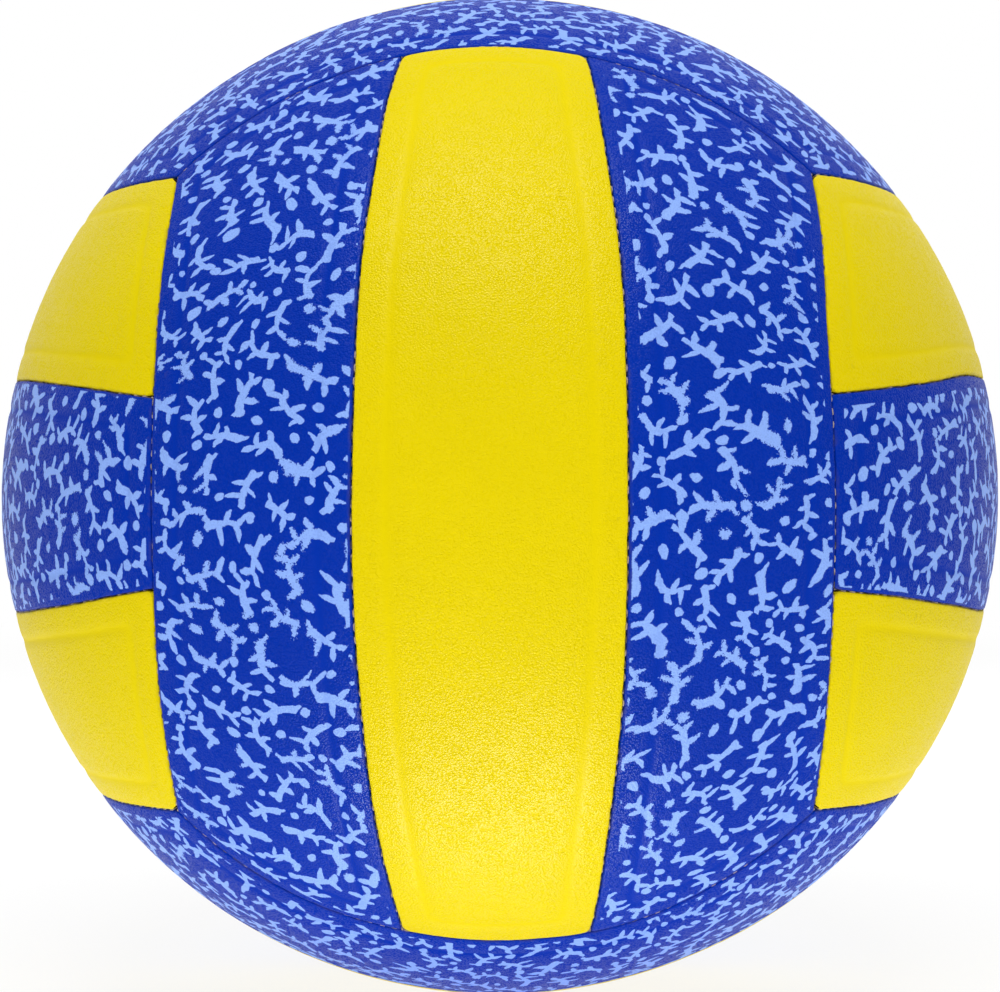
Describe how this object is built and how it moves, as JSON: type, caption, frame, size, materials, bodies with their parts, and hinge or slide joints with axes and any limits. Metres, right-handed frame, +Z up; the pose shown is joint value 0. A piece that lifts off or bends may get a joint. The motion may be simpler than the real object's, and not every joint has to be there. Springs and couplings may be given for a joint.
{
  "type": "volleyball",
  "caption": "Sewn volleyball with yellow and printed blue strip panels over foam, cloth lining and a rubber bladder with a needle valve.",
  "frame": {"origin": "centre of the ball", "axes": "+Z up as pictured, +Y out of the valve in the back face, so that the pictured face looks along -Y and +X is its right"},
  "size_m": [0.21, 0.2099, 0.21],
  "materials": {
    "yellow_cover": "grained synthetic leather, soft sheen",
    "blue_cover": "grained synthetic leather with a pale printed pattern, soft sheen",
    "foam": "closed-cell foam",
    "lining_cloth": "woven cloth",
    "thread": "waxed thread",
    "bladder_rubber": "matte butyl",
    "valve_rubber": "matte rubber",
    "core_rubber": "matte rubber"
  },
  "bodies": {
    "root": {"bladder": "bladder_rubber", "cover_back_left": "blue_cover", "cover_back_middle": "yellow_cover", "cover_back_right": "blue_cover", "cover_bottom_front": "blue_cover", "cover_bottom_middle": "yellow_cover", "cover_bottom_rear": "blue_cover", "cover_front_left": "blue_cover", "cover_front_middle": "yellow_cover", "cover_front_right": "blue_cover", "cover_left_lower": "yellow_cover", "cover_left_middle": "blue_cover", "cover_left_upper": "yellow_cover", "cover_right_lower": "yellow_cover", "cover_right_middle": "blue_cover", "cover_right_upper": "yellow_cover", "cover_top_front": "blue_cover", "cover_top_middle": "yellow_cover", "cover_top_rear": "blue_cover", "face_seam_thread": "thread", "foam_back_left": "foam", "foam_back_middle": "foam", "foam_back_right": "foam", "foam_bottom_front": "foam", "foam_bottom_middle": "foam", "foam_bottom_rear": "foam", "foam_front_left": "foam", "foam_front_middle": "foam", "foam_front_right": "foam", "foam_left_lower": "foam", "foam_left_middle": "foam", "foam_left_upper": "foam", "foam_right_lower": "foam", "foam_right_middle": "foam", "foam_right_upper": "foam", "foam_top_front": "foam", "foam_top_middle": "foam", "foam_top_rear": "foam", "lining_back_left": "lining_cloth", "lining_back_middle": "lining_cloth", "lining_back_right": "lining_cloth", "lining_bottom_front": "lining_cloth", "lining_bottom_middle": "lining_cloth", "lining_bottom_rear": "lining_cloth", "lining_front_left": "lining_cloth", "lining_front_middle": "lining_cloth", "lining_front_right": "lining_cloth", "lining_left_lower": "lining_cloth", "lining_left_middle": "lining_cloth", "lining_left_upper": "lining_cloth", "lining_right_lower": "lining_cloth", "lining_right_middle": "lining_cloth", "lining_right_upper": "lining_cloth", "lining_top_front": "lining_cloth", "lining_top_middle": "lining_cloth", "lining_top_rear": "lining_cloth", "strip_seam_thread": "thread", "valve_body": "valve_rubber", "valve_core": "core_rubber"}
  },
  "joints": []
}
